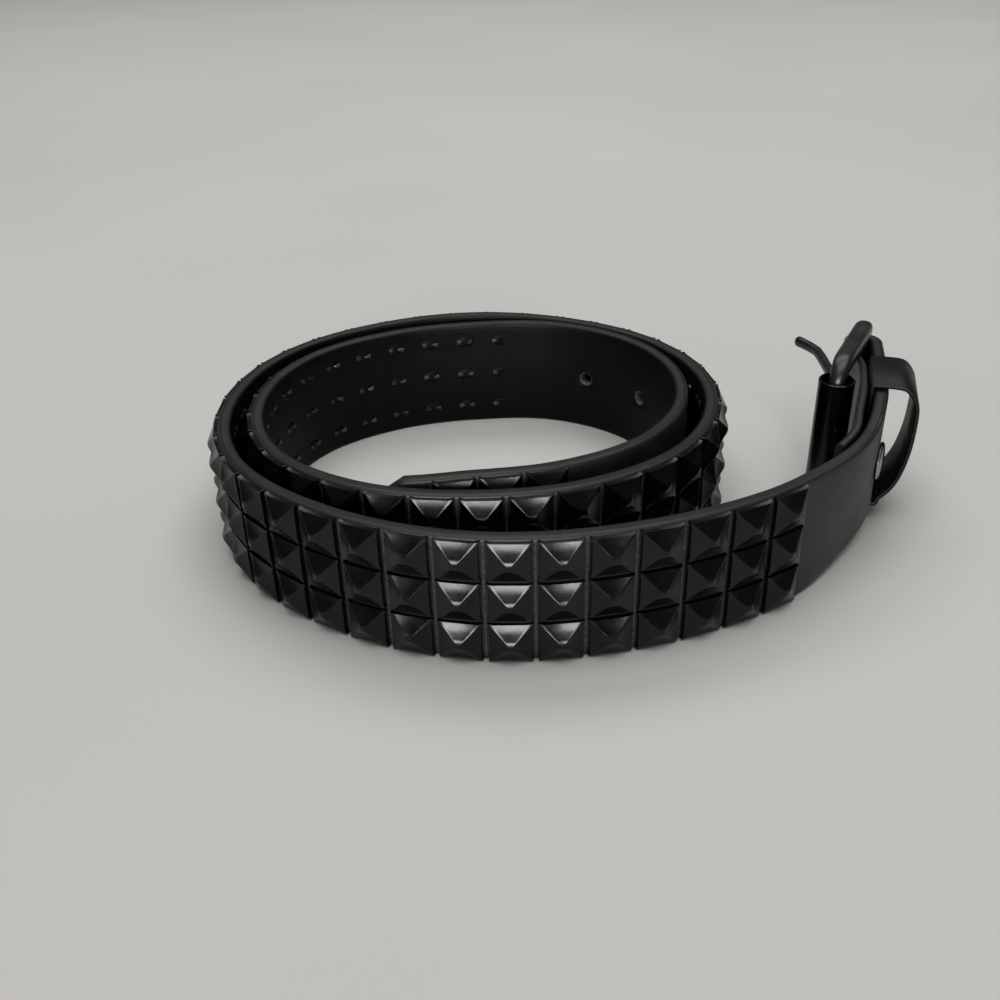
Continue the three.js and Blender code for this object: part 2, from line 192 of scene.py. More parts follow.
def coil_point(angle):
    start = math.floor(angle / TURN_STEP) * TURN_STEP
    around = (radii[start + step * TURN_STEP] for step in (-1, 0, 1, 2))
    radius = curve_through(*around, (angle - start) / TURN_STEP)
    turn = math.radians(angle)
    return COIL_CENTRE + Vector((math.cos(turn), math.sin(turn), 0)) * radius


def tail_turn(share):
    """How far the tail has turned at a share of its length from the coil."""
    for (a, turn_a), (b, turn_b) in zip(tail_bends, tail_bends[1:]):
        if share <= b:
            return math.radians(turn_a + (turn_b - turn_a) * (share - a) / (b - a))


def strap_route():
    """Points of the strap's middle line, from the heel bar inwards."""
    last = coil_point(LEAVING_ANGLE)
    ahead = (last - coil_point(LEAVING_ANGLE - 1)).normalized()
    tail = []
    for step in range(TAIL_STEPS):
        heading = Matrix.Rotation(tail_turn((step + 0.5) / TAIL_STEPS), 3, "Z") @ ahead
        last = last + heading * (TAIL_LENGTH / TAIL_STEPS)
        tail.append(last)
    coil = [coil_point(angle / 2) for angle in range(2 * LEAVING_ANGLE, 2 * INNER_ANGLE, -1)]
    return tail[::-1] + coil


route = strap_route()
run = [0.0]
for here, there in zip(route, route[1:]):
    run.append(run[-1] + (there - here).length)
print("route length", round(run[-1], 4))

# %% [markdown]
# The buckle end is folded back round the heel bar and closed with a snap. The fold stands wide
# at the bar, narrows to the keeper that passes through it, and closes behind the snap. The strap
# rises near the buckle, because the buckle frame is taller than the strap, and leans a little.

# %% Along the route
FLAP_THICKNESS = 2.6 * MM
FLAP_LENGTH = 72 * MM
FOLD_TAPER = 22 * MM
BAR_RADIUS = 2.4 * MM
FOLD_INNER = BAR_RADIUS + CLEARANCE
FOLD_MIDDLE = FOLD_INNER + 1.6 * MM
FOLD_LENGTH = math.pi * FOLD_MIDDLE
KEEPER_THICKNESS = 1.3 * MM
KEEPER_GAP = KEEPER_THICKNESS + 2 * CLEARANCE
SNAP_STATION = 45.6 * MM
SNAP_END = SNAP_STATION + 5.2 * MM
CLOSE_GAP = 0.6 * MM
CLOSING_LENGTH = 12 * MM
TANGENT_REACH = 1.2 * MM
TAIL_LEAN = 0.08


def smooth(low, high, value):
    """Rises smoothly from 0 at the low value to 1 at the high one."""
    t = min(1.0, max(0.0, (value - low) / (high - low)))
    return t * t * (3 - 2 * t)


def mix(a, b, t):
    return a + (b - a) * t


def point_at(along):
    along = min(max(along, 0.0), run[-1])
    i = min(bisect_right(run, along), len(run) - 1)
    return route[i - 1].lerp(route[i], (along - run[i - 1]) / (run[i] - run[i - 1]))


def place(along):
    """The middle line's point, the way to the tip, and the strap's outward side."""
    low = max(0.0, along - TANGENT_REACH)
    ahead = (point_at(low + 2 * TANGENT_REACH) - point_at(low)).normalized()
    return point_at(along), ahead, UP.cross(ahead)


def lift(along):
    """How high the strap's lower edge is above the floor."""
    return FRAME_LIFT * (1 - smooth(0.33 * TAIL_PLAIN, 1.1 * TAIL_PLAIN, along))


def lean(along):
    """How far the strap tips outward for each unit of height."""
    share = min(1.0, max(0.0, (along / TAIL_PLAIN - 0.46) / 0.54))
    return TAIL_LEAN * math.sin(math.pi * share) ** 2


def flap_gap(along):
    """The room between the strap and its flap."""
    near_keeper = mix(2 * FOLD_INNER, KEEPER_GAP, smooth(BAR_RADIUS, FOLD_TAPER, along))
    return mix(near_keeper, CLOSE_GAP, smooth(SNAP_END, SNAP_END + CLOSING_LENGTH, along))


start, heel_ahead, heel_side = place(0)
heel_point = start - heel_side * (HALF_THICK + FOLD_INNER)
print("heel bar at", [round(v, 5) for v in heel_point])

# %% [markdown]
# The strap is made flat and then wound. In flat coordinates x runs along the strap from the
# heel bar to the tip, y outward through its thickness, and z across its width. One helper winds
# a single point, which suits the leather, because it bends. The other gives a whole small piece
# one place, which suits metal, because it doesn't.

# %% From flat to wound
def wind(flat):
    """Where a flat point of the strap goes. Behind x = 0 come the fold and then the flap."""
    x, y, z = flat
    depth = (y + HALF_THICK) / STRAP_THICKNESS
    if x >= 0:
        point, _, side = place(x)
        return point + side * (y + lean(x) * (z - MID_HEIGHT)) + UP * (z + lift(x))
    if x >= -FOLD_LENGTH:
        share = 1 + x / FOLD_LENGTH
        side = Matrix.Rotation(math.pi * (1 - share), 3, "Z") @ heel_side
        radius = FOLD_INNER + depth * mix(FLAP_THICKNESS, STRAP_THICKNESS, share)
        return heel_point + side * radius + UP * (z + FRAME_LIFT)
    along = -(x + FOLD_LENGTH)
    point, _, side = place(along)
    inward = HALF_THICK + flap_gap(along) + depth * FLAP_THICKNESS
    return point + side * (lean(along) * (z - MID_HEIGHT) - inward) + UP * (z + lift(along))


def basis(x_axis, y_axis, z_axis, origin):
    matrix = Matrix((x_axis, y_axis, z_axis)).transposed().to_4x4()
    matrix.translation = origin
    return matrix


def seat(along, outward, height):
    """The matrix that puts a small piece on the strap: X to the tip, Y outward, Z up."""
    point, ahead, side = place(along)
    upward = UP + side * lean(along)
    origin = point + side * (outward + lean(along) * (height - MID_HEIGHT)) + UP * (height + lift(along))
    return basis(ahead, side, upward, origin)


print("strap tip at", [round(v, 4) for v in wind((STRAP_LENGTH, 0, MID_HEIGHT))])

# %% [markdown]
# Finishes come next. Each one is a Principled shader whose colour, roughness and bump come from
# noise on the object's own coordinates or on the strap's flat map, so that the grain keeps its
# size and follows the leather round the coil.

# %% Material helpers
def start_material(name, base, roughness, metallic=0.0, specular=0.5):
    mat = bpy.data.materials.new(name)
    mat.use_nodes = True
    shader = mat.node_tree.nodes["Principled BSDF"]
    shader.inputs["Base Color"].default_value = (*base, 1)
    shader.inputs["Roughness"].default_value = roughness
    shader.inputs["Metallic"].default_value = metallic
    shader.inputs["Specular IOR Level"].default_value = specular
    return mat, shader


def link(mat, output, socket):
    mat.node_tree.links.new(output, socket)


def feed(mat, value, socket):
    """Links an output to a socket, or sets the socket to a number or a colour."""
    if isinstance(value, bpy.types.NodeSocket):
        link(mat, value, socket)
    elif socket.type == "RGBA":
        socket.default_value = (*value, 1)
    else:
        socket.default_value = value


def node(mat, kind, settings=None, **sockets):
    made = mat.node_tree.nodes.new("ShaderNode" + kind)
    for key, value in (settings or {}).items():
        setattr(made, key, value)
    for key, value in sockets.items():
        feed(mat, value, made.inputs[key.replace("_", " ")])
    return made


def object_coords(mat):
    return node(mat, "TexCoord").outputs["Object"]


def mark(mat, name):
    """Reads a number that the mesh keeps at each vertex."""
    return node(mat, "Attribute", {"attribute_name": name}).outputs["Fac"]


def noise(mat, vector, scale, detail=4.0, roughness=0.55):
    made = node(mat, "TexNoise", Vector=vector, Scale=scale, Detail=detail, Roughness=roughness)
    return made.outputs["Fac"]


def ramp(mat, factor, stops):
    """A colour ramp of (position, grey or colour) stops."""
    made = node(mat, "ValToRGB", Fac=factor)
    elements = made.color_ramp.elements
    while len(elements) < len(stops):
        elements.new(0.5)
    for element, (position, tone) in zip(elements, stops):
        element.position = position
        tone = tone if isinstance(tone, tuple) else (tone, tone, tone)
        element.color = (*tone, 1)
    return made.outputs["Color"]


print("material helpers ready")

# %% [markdown]
# Where two finishes meet, as clean leather and a dusty groove do, a mask parts them. These
# helpers do the sums on the masks, blend the colours and stack one bump on another.

# %% Blends, sums and bumps
MIX_FACTOR, MIX_LOW, MIX_HIGH, MIX_RESULT = 0, 6, 7, 2


def blend_colours(mat, factor, low, high, mode="MIX"):
    made = node(mat, "Mix", {"data_type": "RGBA", "blend_type": mode})
    for index, value in ((MIX_FACTOR, factor), (MIX_LOW, low), (MIX_HIGH, high)):
        feed(mat, value, made.inputs[index])
    return made.outputs[MIX_RESULT]


def bump(mat, shader, layers):
    """Chains bump layers of (height output, distance in metres, strength)."""
    last = None
    for height, distance, strength in layers:
        made = node(mat, "Bump", Height=height, Distance=distance, Strength=strength)
        if last:
            link(mat, last, made.inputs["Normal"])
        last = made.outputs["Normal"]
    link(mat, last, shader.inputs["Normal"])


def math_node(mat, operation, first, second):
    made = node(mat, "Math", {"operation": operation})
    for socket, value in zip(made.inputs, (first, second)):
        feed(mat, value, socket)
    return made.outputs[0]


def product(mat, first, second):
    return math_node(mat, "MULTIPLY", first, second)


def fade(mat, value, full, none):
    """One up to `full`, falling smoothly to nothing at `none`."""
    made = node(mat, "MapRange", {"interpolation_type": "SMOOTHSTEP"}, Value=value,
                From_Min=full, From_Max=none, To_Min=1.0, To_Max=0.0)
    return made.outputs["Result"]


print("blend helpers ready")

# %% [markdown]
# The strap's leather is black and satin, with a fine pore grain. Its painted edges have rubbed
# to grey, and dust lies between the stud columns. The face under the studs is painted almost
# black, as painted shade in the gaps between them, and the walls of the punched holes show
# unfinished cut fibre, lightened as painted light that shows through the holes. Marks kept
# at the vertices say what is edge, stud field, lining or cut, and one material blends by them.

# %% Strap leather
def leather_colour(mat, flat, coords, mottle, drag):
    """Face, painted shade under the studs, lining, rubbed edge, groove dust and cut fibre with painted
    hole light, each laid over the ones before.
    """
    inside = mark(mat, "inside")
    shade_and_dust_under_studs = product(mat, mark(mat, "field"), math_node(mat, "SUBTRACT", 1.0, inside))
    face = ramp(mat, mottle, [(0.3, (0.013, 0.0135, 0.0135)), (0.7, (0.02, 0.0205, 0.02))])
    lining = ramp(mat, mottle, [(0.3, (0.0015, 0.002, 0.004)), (0.7, (0.003, 0.0036, 0.0062))])
    rubbed = ramp(mat, drag, [(0.3, (0.008, 0.008, 0.008)), (0.75, (0.018, 0.018, 0.0172))])
    grit = ramp(mat, noise(mat, coords, 1100, 5, 0.75),
                [(0.4, (0.016, 0.016, 0.0155)), (0.66, (0.17, 0.166, 0.157))])
    # The hole walls are unfinished cut fibre, lightened as painted light that shows through the holes.
    hole_wall_fibre_and_light = ramp(mat, noise(mat, coords, 1400, 4, 0.7),
               [(0.35, (0.12, 0.117, 0.108)), (0.65, (0.34, 0.33, 0.31))])
    from_groove = math_node(mat, "PINGPONG", flat.outputs["X"], STUD_PITCH / 2)
    dusty = product(mat, fade(mat, from_groove, 0.1 * MM, 0.42 * MM), shade_and_dust_under_studs)
    # The face under the studs is painted almost black: painted shade in the gaps between the studs.
    colour = blend_colours(mat, shade_and_dust_under_studs, face, (0.004, 0.004, 0.004))
    colour = blend_colours(mat, inside, colour, lining)
    colour = blend_colours(mat, mark(mat, "edge"), colour, rubbed)
    colour = blend_colours(mat, dusty, colour, grit)
    return blend_colours(mat, mark(mat, "cut"), colour, hole_wall_fibre_and_light)


def prong_dents(mat, flat):
    """One in the lining where each clinched prong pulls it in."""
    row_low = (STRAP_HEIGHT - STUD_ROW_PITCH) / 2
    from_groove = math_node(mat, "PINGPONG", flat.outputs["X"], STUD_PITCH / 2)
    from_row = math_node(mat, "PINGPONG", math_node(mat, "ADD", flat.outputs["Y"], -row_low),
                         STUD_ROW_PITCH / 2)
    off_row = math_node(mat, "SUBTRACT", STUD_ROW_PITCH / 2, from_row)
    aside, above = (math_node(mat, "POWER", math_node(mat, "DIVIDE", off, reach), 2.0)
                    for off, reach in ((from_groove, 2.6 * MM), (off_row, 1.5 * MM)))
    near = fade(mat, math_node(mat, "ADD", aside, above), 0.25, 1.6)
    return product(mat, near, product(mat, mark(mat, "inside"), mark(mat, "field")))


def strap_leather():
    mat, shader = start_material("strap_leather", (0.03, 0.03, 0.032), 0.5)
    uv = node(mat, "UVMap", {"uv_map": "flat"}).outputs["UV"]
    flat = node(mat, "SeparateXYZ", Vector=uv)
    coords = object_coords(mat)
    mottle = noise(mat, coords, 95, 5)
    pores = noise(mat, coords, 1500, 3, 0.6)
    streaks = node(mat, "Mapping", Vector=uv, Scale=(0.25, 3.0, 1.0)).outputs["Vector"]
    drag = noise(mat, streaks, 260, 4)
    link(mat, leather_colour(mat, flat, coords, mottle, drag), shader.inputs["Base Color"])
    link(mat, ramp(mat, mottle, [(0.3, 0.42), (0.7, 0.56)]), shader.inputs["Roughness"])
    shine = math_node(mat, "ADD", product(mat, mark(mat, "inside"), -0.24), 0.36)
    link(mat, shine, shader.inputs["Specular IOR Level"])
    bump(mat, shader, [(pores, 0.00012, 0.35), (drag, 0.0002, 0.3), (prong_dents(mat, flat), 0.0009, 0.7)])
    return mat


leather = strap_leather()
print("finish:", leather.name)

# %% [markdown]
# The keeper is cut from a thinner, blacker leather. Its inside is rougher and holds pale chalky
# specks, which a steep ramp picks out of a coarse noise.

# %% Keeper leather
def plain_leather():
    mat, shader = start_material("keeper_leather", (0.01, 0.01, 0.01), 0.5, specular=0.22)
    coords = object_coords(mat)
    mottle = noise(mat, coords, 120, 5)
    pores = noise(mat, coords, 1500, 3, 0.6)
    chalk = ramp(mat, noise(mat, coords, 520, 6, 0.7), [(0.56, 0.0), (0.74, 1.0)])
    face = ramp(mat, mottle, [(0.3, (0.003, 0.003, 0.0035)), (0.7, (0.006, 0.006, 0.006))])
    colour = blend_colours(mat, product(mat, chalk, mark(mat, "inside")), face, (0.2, 0.195, 0.185))
    link(mat, colour, shader.inputs["Base Color"])
    link(mat, ramp(mat, mottle, [(0.3, 0.4), (0.7, 0.55)]), shader.inputs["Roughness"])
    bump(mat, shader, [(pores, 0.00012, 0.4), (mottle, 0.0004, 0.25)])
    return mat


keeper_leather = plain_leather()
print("finish:", keeper_leather.name)

# %% [markdown]
# The studs are thin steel under glossy black lacquer, nearly smooth, with a faint ripple, fine
# scratches and specks of dust. A mirror finish would look like new plastic, so the roughness
# wanders a little with the ripple.

# %% Stud lacquer
def stud_lacquer():
    mat, shader = start_material("stud_lacquer", (0.002, 0.002, 0.003), 0.2, specular=0.3)
    coords = object_coords(mat)
    ripple = noise(mat, coords, 240, 3)
    fine = noise(mat, coords, 2300, 2)
    stretched = node(mat, "Mapping", Vector=coords, Scale=(1.0, 1.0, 7.0), Rotation=(0.3, 0.5, 0.2))
    scratch = ramp(mat, noise(mat, stretched.outputs["Vector"], 700, 2, 0.8), [(0.69, 0.0), (0.73, 1.0)])
    specks = ramp(mat, noise(mat, coords, 1500, 2, 0.6), [(0.7, 0.0), (0.76, 1.0)])
    marks = blend_colours(mat, 0.5, scratch, specks, "ADD")
    tone = ramp(mat, ripple, [(0.3, (0.0014, 0.0014, 0.0024)), (0.75, (0.003, 0.003, 0.0042))])
    link(mat, blend_colours(mat, marks, tone, (0.04, 0.04, 0.039)), shader.inputs["Base Color"])
    link(mat, ramp(mat, ripple, [(0.3, 0.19), (0.7, 0.27)]), shader.inputs["Roughness"])
    bump(mat, shader, [(ripple, 0.0003, 0.12), (fine, 0.00002, 0.2)])
    return mat


lacquer = stud_lacquer()
print("finish:", lacquer.name)

# %% [markdown]
# The buckle is a satin black that has worn to grey where hands touch it. The roller keeps a
# darker gloss, the prongs are bare steel and the snap is bright nickel. All of them are one
# recipe: a colour and a roughness that drift between two ends with the same wear.

# %% Worn metals
def worn_metal(name, tones, roughness, metallic, specular=0.5):
    mat, shader = start_material(name, tones[1], roughness[0], metallic, specular)
    coords = object_coords(mat)
    wear = noise(mat, coords, 160, 6, 0.6)
    grain = noise(mat, coords, 1900, 3)
    link(mat, ramp(mat, wear, [(0.35, tones[0]), (0.68, tones[1])]), shader.inputs["Base Color"])
    link(mat, ramp(mat, wear, [(0.3, roughness[0]), (0.7, roughness[1])]), shader.inputs["Roughness"])
    bump(mat, shader, [(grain, 0.00006, 0.4)])
    return mat


frame_tones = [(0.01, 0.01, 0.0095), (0.026, 0.0255, 0.0235)]
roller_tones = [(0.0008, 0.0008, 0.0016), (0.0025, 0.0025, 0.004)]
tongue_tones = [(0.008, 0.008, 0.008), (0.026, 0.0255, 0.0245)]
prong_tones = [(0.02, 0.02, 0.022), (0.08, 0.08, 0.08)]
snap_tones = [(0.22, 0.22, 0.22), (0.42, 0.42, 0.41)]
frame_finish = worn_metal("frame_satin", frame_tones, (0.28, 0.4), 0.12)
roller_finish = worn_metal("roller_gloss", roller_tones, (0.16, 0.26), 0.0, 0.28)
tongue_finish = worn_metal("tongue_satin", tongue_tones, (0.32, 0.45), 0.2)
prong_finish = worn_metal("prong_steel", prong_tones, (0.25, 0.4), 0.6)
snap_finish = worn_metal("snap_nickel", snap_tones, (0.15, 0.3), 1.0)
print("materials so far:", len(bpy.data.materials))

# %% [markdown]
# Every piece leaves bmesh in the same way. It is shaded smooth, with hard edges only where two
# faces meet sharply, and one helper gives it its finish and tells the frame what it replaces
# and what it rides on.

# %% From bmesh to piece
SHARP = math.radians(38)


def harden(bm, angle=SHARP):
    for face in bm.faces:
        face.smooth = True
    for edge in bm.edges:
        edge.smooth = edge.is_manifold and edge.calc_face_angle(0) < angle


def to_mesh(bm, name):
    mesh = bpy.data.meshes.new(name)
    bm.to_mesh(mesh)
    bm.free()
    return mesh


def shown(bm, name, mat):
    mesh = to_mesh(bm, name)
    mesh.materials.append(mat)
    made = bpy.data.objects.new(name, mesh)
    bpy.context.collection.objects.link(made)
    print(name, "faces", len(mesh.polygons))
    return made


def piece(bm, name, mat, body, replaced=()):
    made = shown(bm, name, mat)
    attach(made, body)
    if replaced:
        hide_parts(*replaced)


def stamp(bm, pattern, matrix):
    """Adds a copy of a small mesh in its place."""
    first = len(bm.verts)
    bm.from_mesh(pattern)
    bm.verts.ensure_lookup_table()
    bmesh.ops.transform(bm, matrix=matrix, verts=bm.verts[first:])


print("piece helpers ready")

# %% [markdown]
# Two ways of making a solid come back again and again on a belt. A bent bar or strip is one
# section extruded through many places, and a turned part is a profile spun about its axis.

# %% Sweep and spin
def ring_verts(verts, points):
    for vert, point in zip(verts, points):
        vert.co = point


def grown_edges(grown, fresh):
    return [g for g in grown if isinstance(g, bmesh.types.BMEdge) and fresh.issuperset(g.verts)]


def sweep(bm, rings, closed=False):
    """Extrudes one ring of vertices through rings of points. It caps the ends, or joins them."""
    first = bmesh.ops.create_circle(bm, cap_ends=False, segments=len(rings[0]), radius=1)["verts"]
    ring_verts(first, rings[0])
    edges = list(dict.fromkeys(edge for vert in first for edge in vert.link_edges))
    verts = first
    for points in rings[1:] + ([rings[0]] if closed else []):
        grown = bmesh.ops.extrude_edge_only(bm, edges=edges)["geom"]
        fresh = {g for g in grown if isinstance(g, bmesh.types.BMVert)}
        above = {v: o for v in verts for e in v.link_edges if (o := e.other_vert(v)) in fresh}
        verts = [above[vert] for vert in verts]
        ring_verts(verts, points)
        edges = grown_edges(grown, fresh)
    if closed:
        bmesh.ops.remove_doubles(bm, verts=list(first) + list(verts), dist=1e-7)
    else:
        bmesh.ops.contextual_create(bm, geom=list(first))
        bmesh.ops.contextual_create(bm, geom=list(verts))
    bmesh.ops.recalc_face_normals(bm, faces=bm.faces)


def turned_profile(bm, profile, matrix, segments):
    """Spins an open profile of (radius, height) about Y and puts it in place."""
    verts = [bm.verts.new((radius, height, 0)) for radius, height in profile]
    edges = [bm.edges.new(pair) for pair in zip(verts, verts[1:])]
    bmesh.ops.spin(bm, geom=verts + edges, cent=(0, 0, 0), axis=(0, 1, 0), angle=2 * math.pi,
                   steps=segments, use_merge=True)
    bmesh.ops.remove_doubles(bm, verts=bm.verts, dist=1e-6)
    bmesh.ops.recalc_face_normals(bm, faces=bm.faces)
    bmesh.ops.transform(bm, matrix=matrix, verts=bm.verts)


print("shape helpers ready")

# %% [markdown]
# The strap starts as a flat bar. Bevelled long edges give it its rounded rim, and a shallow
# groove near the outer side marks where the two layers of leather are glued. The bar is then cut
# into short lengths, so that it can bend later. Modelling flat keeps the holes round and the rim
# even, where a curve with a section would pinch on the inside of each bend.

# %% The flat strap
HOLE_RADIUS = 2.2 * MM
HOLE_PITCH = 25.4 * MM
FIRST_HOLE = MAIN_END + 33.5 * MM
holes = [FIRST_HOLE + k * HOLE_PITCH for k in range(5)]
SLOT_REACH = 15 * MM
SLOT_HALF = 4.6 * MM
RIM = 1.1 * MM
SEAM_SIDE = HALF_THICK - 1.0 * MM
SEAM_DEPTH = 0.28 * MM
ROWS = 16
BEND_STEPS = 356


def strap_stations():
    """Where the bar is cut across: close together at the fold, the holes and the tip."""
    spans = [
        (-FOLD_LENGTH - FLAP_LENGTH, -FOLD_LENGTH, 30),
        (-FOLD_LENGTH, 0.0, 16),
        (0.0, FIRST_HOLE, BEND_STEPS),
        (FIRST_HOLE, holes[-1], 40),
        (holes[-1], STRAP_LENGTH - TIP_TAPER, 28),
    ]
    stations = []
    for low, high, count in spans:
        stations += [mix(low, high, k / count) for k in range(count)]
    taper = 12
    return stations + [STRAP_LENGTH - TIP_TAPER * (1 - k / taper) for k in range(taper + 1)]


def along_x(edge):
    a, b = (v.co for v in edge.verts)
    return abs(a.x - b.x) > 1e-5


def across(bm, axis, least):
    """The edges that cross the bar and reach further than the least along an axis."""
    edges = [e for e in bm.edges if not along_x(e)]
    return [e for e in edges if abs(e.verts[0].co[axis] - e.verts[1].co[axis]) > least]


def flat_strap():
    bm = bmesh.new()
    stations = strap_stations()
    low, high = stations[0], stations[-1]
    size = Matrix.Diagonal((high - low, STRAP_THICKNESS, STRAP_HEIGHT, 1))
    shift = Matrix.Translation(((low + high) / 2, 0, MID_HEIGHT))
    bmesh.ops.create_cube(bm, size=1, matrix=shift @ size)
    bmesh.ops.bevel(bm, geom=[e for e in bm.edges if along_x(e)], offset=RIM, offset_type="OFFSET",
                    affect="EDGES", segments=3, profile=0.5, material=-1, clamp_overlap=True)
    bmesh.ops.subdivide_edges(bm, edges=across(bm, 2, 10 * MM), cuts=ROWS - 1)
    bmesh.ops.subdivide_edges(bm, edges=across(bm, 1, 1.2 * MM), cuts=3)
    seam = (SEAM_SIDE - 0.3 * MM, SEAM_SIDE, SEAM_SIDE + 0.05 * MM)
    flat_y = HALF_THICK - RIM
    for v in bm.verts:
        if min(v.co.z, STRAP_HEIGHT - v.co.z) < 1e-6 and abs(v.co.y) < flat_y - 1e-6:
            step = round((v.co.y + flat_y) / (flat_y / 2)) - 1
            v.co.y = min(seam[step], flat_y - 0.02 * MM * (2 - step))
            if step == 1:
                v.co.z += SEAM_DEPTH if v.co.z < MID_HEIGHT else -SEAM_DEPTH
    bmesh.ops.subdivide_edges(bm, edges=[e for e in bm.edges if along_x(e)], cuts=len(stations) - 2,
                              use_grid_fill=True)
    count = len(stations) - 1
    for v in bm.verts:
        v.co.x = stations[round((v.co.x - low) / (high - low) * count)]
    return bm


strap_bm = flat_strap()
print("flat strap verts", len(strap_bm.verts))

# %% [markdown]
# Five holes are punched through the plain stretch, and a long slot in the fold lets the tongue
# through. A boolean would leave ragged faces in so thin a bar. Instead a patch of vertices is
# taken out of both sides, its rims are drawn in to a circle, and the two rims are bridged.

# %% Holes and slot
HOLE_CELL = HOLE_PITCH / 10
ROW_CELL = (STRAP_HEIGHT - 2 * RIM) / ROWS


def open_patch(bm, half_x, half_z, centre_x):
    """Takes out the vertices inside a box on both wide sides and returns the two open rims."""
    gone = {v for v in bm.verts if abs(v.co.x - centre_x) < half_x and abs(v.co.z - MID_HEIGHT) < half_z}
    around = {o for v in gone for f in v.link_faces for o in f.verts} - gone
    bmesh.ops.delete(bm, geom=[v for v in bm.verts if v in gone], context="VERTS")
    rims = []
    for sign in (1, -1):
        verts = {v for v in around if v.co.y * sign > 0}
        rims.append([e for e in bm.edges if e.is_boundary and verts.issuperset(e.verts)])
    return rims


def drill(bm, centre_x):
    rims = open_patch(bm, 1.5 * HOLE_CELL, 1.5 * ROW_CELL, centre_x)
    for radius, inset in ((HOLE_RADIUS + 0.5 * MM, 0.0), (HOLE_RADIUS, 0.35 * MM)):
        for index, rim in enumerate(rims):
            grown = bmesh.ops.extrude_edge_only(bm, edges=rim)["geom"]
            fresh = {g for g in grown if isinstance(g, bmesh.types.BMVert)}
            for v in fresh:
                turn = math.atan2(v.co.z - MID_HEIGHT, v.co.x - centre_x)
                v.co.x = centre_x + radius * math.cos(turn)
                v.co.z = MID_HEIGHT + radius * math.sin(turn)
                v.co.y -= math.copysign(inset, v.co.y)
            rims[index] = grown_edges(grown, fresh)
    bmesh.ops.bridge_loops(bm, edges=rims[0] + rims[1])


for hole in holes:
    drill(strap_bm, hole)
slot_middle = -FOLD_LENGTH / 2
slot_rims = open_patch(strap_bm, FOLD_LENGTH / 2 + SLOT_REACH, SLOT_HALF - 0.4 * MM, slot_middle)
bmesh.ops.bridge_loops(strap_bm, edges=slot_rims[0] + slot_rims[1])
print("holes", len(holes), "and a slot of", round(FOLD_LENGTH + 2 * SLOT_REACH, 4))

# %% [markdown]
# Before the strap is wound, its vertices get the marks that the leather reads, and its faces get
# a flat map, because both are easy to say in flat coordinates. The tip is then cut to its taper
# and every vertex is wound along the route.

# %% Mark and wind the strap
def tip_share(x):
    """The share of the full width that is left at a point of the tip."""
    share = min(1.0, max(0.0, (x - STRAP_LENGTH + TIP_TAPER) / TIP_TAPER))
    return 1 - share * (1 - TIP_END_HEIGHT / STRAP_HEIGHT)


def in_stud_field(x):
    return TAIL_PLAIN < x < MAIN_END or TIP_FIELD_START < x < STRAP_LENGTH - TIP_PLAIN


def mark_strap(bm):
    flat = bm.loops.layers.uv.new("flat")
    names = ("edge", "field", "inside", "cut")
    edge_mark, field_mark, inside_mark, cut_mark = (bm.verts.layers.float.new(n) for n in names)
    for v in bm.verts:
        rim = min(v.co.z, STRAP_HEIGHT - v.co.z)
        v[edge_mark] = 1 - smooth(0.2 * MM, 1.2 * MM, rim)
        v[field_mark] = 1.0 if in_stud_field(v.co.x) and rim > 0.8 * MM else 0.0
        v[inside_mark] = 1 - smooth(-HALF_THICK, -HALF_THICK + 1.2 * MM, v.co.y)
        nearest = min(math.hypot(v.co.x - hole, v.co.z - MID_HEIGHT) for hole in holes)
        v[cut_mark] = 1.0 if nearest < HOLE_RADIUS + 0.05 * MM else 0.0
    for face in bm.faces:
        on_tip = face.calc_center_median().x > MAIN_END + PLAIN_STRETCH / 2
        field = TIP_FIELD_START if on_tip else TAIL_PLAIN
        for corner in face.loops:
            corner[flat].uv = (corner.vert.co.x - field, corner.vert.co.z)


mark_strap(strap_bm)
for v in strap_bm.verts:
    v.co.z = MID_HEIGHT + (v.co.z - MID_HEIGHT) * tip_share(v.co.x)
    v.co = wind(v.co)
bmesh.ops.recalc_face_normals(strap_bm, faces=strap_bm.faces)
harden(strap_bm, math.radians(50))
piece(strap_bm, "leather_strap", leather, "belt", ["strap"])

# %% [markdown]
# A stud is stamped from thin sheet: a short wall, four hollow facets and blunt ridges that
# catch the light as bright lines. One stud is extruded ring by ring from a circle of sixteen
# points, because an inset of a cube would keep its sides straight and its ridges sharp.

# %% One stud
STUD_WALL = 1.3 * MM
STUD_SINK = 0.1 * MM
FACET_HOLLOW = 1.28
RING_CORNER = 0.96
RING_SHOULDER = 0.74
stud_rings = [
    (1.0, 0.0, 0.07), (0.98, STUD_WALL, 0.075), (0.8, None, 0.08),
    (0.55, None, 0.08), (0.3, None, 0.05), (0.1, None, 0.0),
]


def facet_height(share):
    """The hollow facets rise slowly at the wall and steeply at the peak."""
    return STUD_WALL + (STUD_HEIGHT - STUD_WALL) * (1 - share) ** FACET_HOLLOW


def square_ring(half, pinch, height):
    """Sixteen points round a square whose corners are blunt and whose sides are drawn in."""
    points = []
    for side in range(4):
        for t in (-RING_CORNER, -RING_SHOULDER, RING_SHOULDER, RING_CORNER):
            inward = half * (1 - pinch * (1 - t * t) / 0.45)
            point = Vector((half * t, height, -inward))
            points.append(Matrix.Rotation(-math.pi / 2 * side, 3, "Y") @ point)
    return points


def make_stud():
    bm = bmesh.new()
    half = STUD_BASE / 2
    rings = []
    for share, height, pinch in stud_rings:
        height = facet_height(share) if height is None else height
        rings.append(square_ring(half * share, pinch, height - STUD_SINK))
    sweep(bm, rings)
    harden(bm, math.radians(44))
    return to_mesh(bm, "stud_pattern")


stud_pattern = make_stud()
print("stud faces", len(stud_pattern.polygons))

# %% [markdown]
# The studs are set in columns of three, and each column sits on the chord between its two edges,
# because a stud's base is rigid. Setting leaves every stud a little off true, which breaks up
# the reflections, so each copy is tilted and twisted by about a degree at random.

